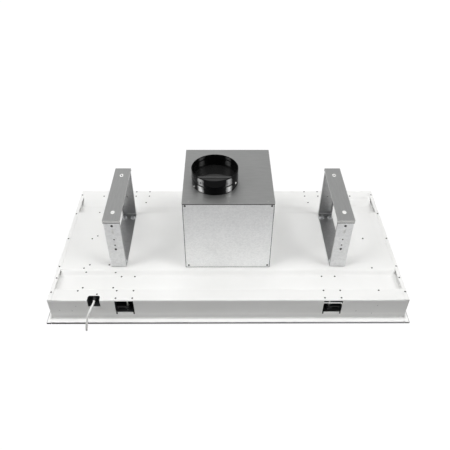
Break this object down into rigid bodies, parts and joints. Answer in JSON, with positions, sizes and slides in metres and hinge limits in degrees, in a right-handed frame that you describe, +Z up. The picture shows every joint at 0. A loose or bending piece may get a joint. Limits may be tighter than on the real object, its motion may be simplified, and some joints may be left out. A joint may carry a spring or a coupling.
{
  "type": "ceiling range hood",
  "caption": "Recessed ceiling range hood: white casing with edge suction panel, grease filters and lights, galvanised motor box with round duct collar, ceiling brackets and clamps.",
  "frame": {"origin": "middle of the casing's footprint, in the plane of the suction frame's lower face on which it lies", "axes": "+X along the casing to the right as seen from the side with the cable outlet, +Y away from that side, +Z up towards the duct collar and the ceiling"},
  "size_m": [1.2, 0.7486, 0.44],
  "materials": {
    "white_paint": "satin white powder coat",
    "galvanised": "plain galvanised sheet",
    "zinc_steel": "bright zinc plate",
    "collar_black": "glossy black",
    "flap_plastic": "dark grey, half gloss",
    "black_plastic": "matt black",
    "dark_plastic": "matt dark grey",
    "grey_plastic": "matt grey",
    "aluminium": "satin",
    "opal": "opal diffuser",
    "cable_white": "smooth white sheath"
  },
  "bodies": {
    "hood": {"main_cover": "white_paint", "end_cap_left": "white_paint", "end_cap_right": "white_paint", "suction_frame": "white_paint", "motor_box": "galvanised", "service_panel": "galvanised", "box_top_plate": "galvanised", "blower_scroll": "galvanised", "filter_support": "galvanised", "bracket_base_left": "galvanised", "bracket_base_right": "galvanised", "blower_motor": "zinc_steel", "hinge_bracket_left": "zinc_steel", "hinge_bracket_right": "zinc_steel", "clamp_screw_front_left": "zinc_steel", "clamp_screw_front_right": "zinc_steel", "clamp_screw_back_left": "zinc_steel", "clamp_screw_back_right": "zinc_steel", "duct_collar_base": "collar_black", "duct_collar_ring": "collar_black", "damper_spindle": "black_plastic", "panel_catch_left": "black_plastic", "panel_catch_right": "black_plastic", "clamp_housing_front_left": "black_plastic", "clamp_housing_front_right": "black_plastic", "clamp_housing_back_left": "black_plastic", "clamp_housing_back_right": "black_plastic", "cable_outlet": "dark_plastic", "strain_relief": "dark_plastic", "terminal_box": "grey_plastic", "led_driver": "grey_plastic", "grease_filter_left": "aluminium", "grease_filter_middle": "aluminium", "grease_filter_right": "aluminium", "led_bar_left": "aluminium", "led_bar_right": "aluminium", "led_diffuser_left": "opal", "led_diffuser_right": "opal", "mains_cord": "cable_white", "cord_coil": "cable_white", "mains_plug": "cable_white"},
    "panel": {"suction_panel": "white_paint", "hinge_arm_left": "zinc_steel", "hinge_arm_right": "zinc_steel"},
    "wheel": {"blower_wheel": "galvanised", "motor_shaft": "zinc_steel"},
    "flap_front": {"damper_flap_front": "flap_plastic"},
    "flap_back": {"damper_flap_back": "flap_plastic"},
    "bracket_top_left": {"bracket_slider_left": "galvanised", "bracket_cap_left": "galvanised"},
    "bracket_top_right": {"bracket_slider_right": "galvanised", "bracket_cap_right": "galvanised"},
    "nut_front_left": {"clamp_nut_front_left": "zinc_steel"},
    "claw_front_left": {"clamp_claw_front_left": "black_plastic"},
    "nut_front_right": {"clamp_nut_front_right": "zinc_steel"},
    "claw_front_right": {"clamp_claw_front_right": "black_plastic"},
    "nut_back_left": {"clamp_nut_back_left": "zinc_steel"},
    "claw_back_left": {"clamp_claw_back_left": "black_plastic"},
    "nut_back_right": {"clamp_nut_back_right": "zinc_steel"},
    "claw_back_right": {"clamp_claw_back_right": "black_plastic"}
  },
  "joints": [
    {"name": "panel_hinge", "type": "hinge", "parent": "hood", "child": "panel", "pos_m": [0, 0.1958, 0.021], "axis": [1, 0, 0], "range_deg": [0, 90]},
    {"name": "wheel_spin", "type": "hinge", "parent": "hood", "child": "wheel", "pos_m": [0.0225, -0.0245, 0.24056], "axis": [0, 1, 0], "continuous": true},
    {"name": "flap_front_hinge", "type": "hinge", "parent": "hood", "child": "flap_front", "pos_m": [-0.0445, -0.0245, 0.4], "axis": [-1, 0, 0], "range_deg": [0, 75]},
    {"name": "flap_back_hinge", "type": "hinge", "parent": "hood", "child": "flap_back", "pos_m": [-0.0445, -0.0245, 0.4], "axis": [1, 0, 0], "range_deg": [0, 75]},
    {"name": "bracket_height_left", "type": "slide", "parent": "hood", "child": "bracket_top_left", "axis": [0, 0, 1], "range_m": [0, 0.08]},
    {"name": "bracket_height_right", "type": "slide", "parent": "hood", "child": "bracket_top_right", "axis": [0, 0, 1], "range_m": [0, 0.08]},
    {"name": "clamp_travel_front_left", "type": "slide", "parent": "hood", "child": "nut_front_left", "axis": [0, 0, 1], "range_m": [0, 0.026]},
    {"name": "claw_swing_front_left", "type": "hinge", "parent": "nut_front_left", "child": "claw_front_left", "pos_m": [-0.332, -0.272, 0.061], "axis": [0, 0, 1], "range_deg": [0, 90]},
    {"name": "clamp_travel_front_right", "type": "slide", "parent": "hood", "child": "nut_front_right", "axis": [0, 0, 1], "range_m": [0, 0.026]},
    {"name": "claw_swing_front_right", "type": "hinge", "parent": "nut_front_right", "child": "claw_front_right", "pos_m": [0.332, -0.272, 0.061], "axis": [0, 0, -1], "range_deg": [0, 90]},
    {"name": "clamp_travel_back_left", "type": "slide", "parent": "hood", "child": "nut_back_left", "axis": [0, 0, 1], "range_m": [0, 0.026]},
    {"name": "claw_swing_back_left", "type": "hinge", "parent": "nut_back_left", "child": "claw_back_left", "pos_m": [-0.332, 0.272, 0.061], "axis": [0, 0, -1], "range_deg": [0, 90]},
    {"name": "clamp_travel_back_right", "type": "slide", "parent": "hood", "child": "nut_back_right", "axis": [0, 0, 1], "range_m": [0, 0.026]},
    {"name": "claw_swing_back_right", "type": "hinge", "parent": "nut_back_right", "child": "claw_back_right", "pos_m": [0.332, 0.272, 0.061], "axis": [0, 0, 1], "range_deg": [0, 90]}
  ]
}
